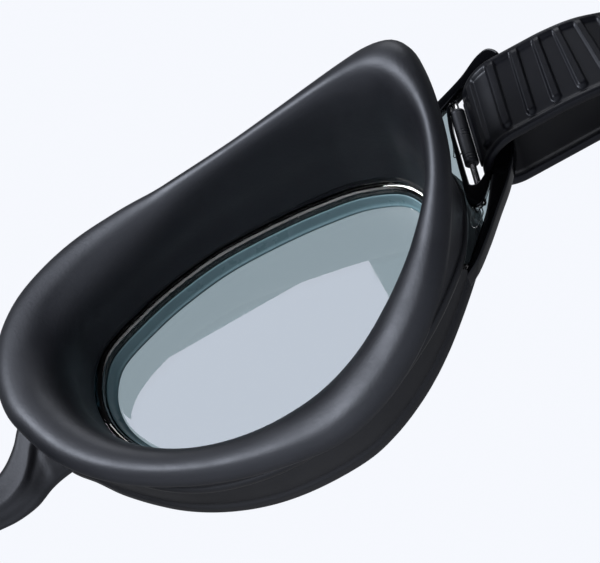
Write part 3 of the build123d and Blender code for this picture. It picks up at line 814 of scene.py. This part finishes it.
# ---- stage ----------------------------------------------------------------------------------------
BRIGHT, DIM = 0.25, 0.02             # strengths of the surroundings as a light
DIM_TOWARDS, DIM_FROM, DIM_TO = (0.02, 0.82, -0.57), 1.1, 1.8
WINDOW_CORNER = Vector((0.067, 0.80, 0.575))     # of the upright softbox that the lenses mirror
WINDOW_WIDE, WINDOW_HIGH = 0.2, 0.2
FLOOR_HALF, FLOOR_Z_AT = 3.0, -0.32
WINDOW_FACES = Vector((-0.146, -0.815, -0.561))


def make_stage():
    """Pale floor below the goggles and white surroundings."""
    scene = bpy.context.scene
    scene.view_settings.view_transform = "Standard"
    make_surroundings(scene)
    w, z = FLOOR_HALF, FLOOR_Z_AT
    floor = mesh_object("floor", [(-w, -w, z), (w, -w, z), (w, w, z), (-w, w, z)], [(0, 1, 2, 3)])
    material = Nodes("floor")
    material.link(material.mix(material.noise(3.0), (0.8, 0.8, 0.82), (0.84, 0.84, 0.86)),
                  material.shader.inputs["Base Color"])
    material.set(Roughness=0.7)
    floor.data.materials.append(material.material)


def make_surroundings(scene):
    """White surroundings, at full strength behind the object, and a dim room behind the camera."""
    world = bpy.data.worlds.new("surroundings")
    scene.world = world
    world.use_nodes = True
    tree = world.node_tree
    background = tree.nodes["Background"]
    background.inputs["Color"].default_value = (0.92, 0.94, 0.99, 1)
    path = tree.nodes.new("ShaderNodeLightPath")
    seen = tree.nodes.new("ShaderNodeMath")
    seen.operation = "MAXIMUM"
    tree.links.new(path.outputs["Is Camera Ray"], seen.inputs[0])
    tree.links.new(path.outputs["Is Transmission Ray"], seen.inputs[1])
    direction = tree.nodes.new("ShaderNodeTexCoord")
    away = tree.nodes.new("ShaderNodeVectorMath")
    away.operation = "DISTANCE"
    tree.links.new(direction.outputs["Generated"], away.inputs[0])
    away.inputs[1].default_value = DIM_TOWARDS
    fade = tree.nodes.new("ShaderNodeMapRange")
    fade.interpolation_type = "SMOOTHSTEP"
    for key, number in (("From Min", DIM_FROM), ("From Max", DIM_TO), ("To Min", DIM), ("To Max", BRIGHT)):
        fade.inputs[key].default_value = number
    tree.links.new(away.outputs["Value"], fade.inputs["Value"])
    strength = tree.nodes.new("ShaderNodeMix")
    strength.inputs["B"].default_value = 1.0
    tree.links.new(seen.outputs["Value"], strength.inputs["Factor"])
    tree.links.new(fade.outputs["Result"], strength.inputs["A"])
    tree.links.new(strength.outputs["Result"], background.inputs["Strength"])


def make_light(name, place_at, aim, wide, high, power, color=(1, 1, 1)):
    """Soft rectangular light aimed at a point; positions in metres."""
    data = bpy.data.lights.new(name, "AREA")
    data.shape = "RECTANGLE"
    data.size, data.size_y = wide, high
    data.energy = power
    data.color = color
    obj = bpy.data.objects.new(name, data)
    bpy.context.scene.collection.objects.link(obj)
    obj.location = place_at
    obj.rotation_euler = (Vector(aim) - Vector(place_at)).to_track_quat("-Z", "Y").to_euler()
    obj.visible_camera = False
    obj.visible_transmission = False
    return obj


def make_window_light():
    """Upright softbox with one corner where the lens mirrors it."""
    across = WINDOW_FACES.cross(Vector((0, 0, 1))).normalized()
    up = across.cross(WINDOW_FACES).normalized()
    if across.x < 0:
        across = -across
    if up.z < 0:
        up = -up
    centre = WINDOW_CORNER + across * WINDOW_WIDE / 2 - up * WINDOW_HIGH / 2
    make_light("window", centre, centre + WINDOW_FACES, WINDOW_WIDE, WINDOW_HIGH, 0.37,
               (0.9, 0.85, 1.0))


CAMERA_AT = Vector((-0.042, 0.3157, -0.2204))
CAMERA_AIM = Vector((-0.0509, -0.0140, 0.0062))
CAMERA_ROLL = math.radians(29.5)
CAMERA_LENS = 182.4      # on a 36 mm sensor


def make_camera():
    """Camera behind and below the right eye cup, rolled with the cup's brow to the upper left."""
    look = (CAMERA_AIM - CAMERA_AT).normalized()
    right = look.cross(Vector((0, 0, 1))).normalized()
    up = right.cross(look)
    across = right * math.cos(CAMERA_ROLL) - up * math.sin(CAMERA_ROLL)
    over = right * math.sin(CAMERA_ROLL) + up * math.cos(CAMERA_ROLL)
    data = bpy.data.cameras.new("camera")
    data.lens = CAMERA_LENS
    data.sensor_width = 36.0
    data.clip_start = 0.01
    obj = bpy.data.objects.new("camera", data)
    bpy.context.scene.collection.objects.link(obj)
    turn = Matrix((across, over, -look)).transposed()
    obj.matrix_world = Matrix.Translation(CAMERA_AT) @ turn.to_4x4()
    bpy.context.scene.camera = obj


make_stage()
make_camera()
make_window_light()
make_light("top", (-0.4, 0.35, 0.75), (-0.06, 0, 0), 0.5, 0.5, 3)
make_light("side", (0.52, 0.8, 0.3), (-0.06, 0, 0), 0.42, 0.45, 19)
for name, side in SIDES.items():
    make_seal(name, side)
    make_lens(name, side)
    make_surround(name, side)
    make_carrier(name, side)
    make_loop(name, side)
    make_pin(name, side)
    make_roller(name, side)
    make_strap(name, side)
    make_keeper(name, side)
make_bridge()
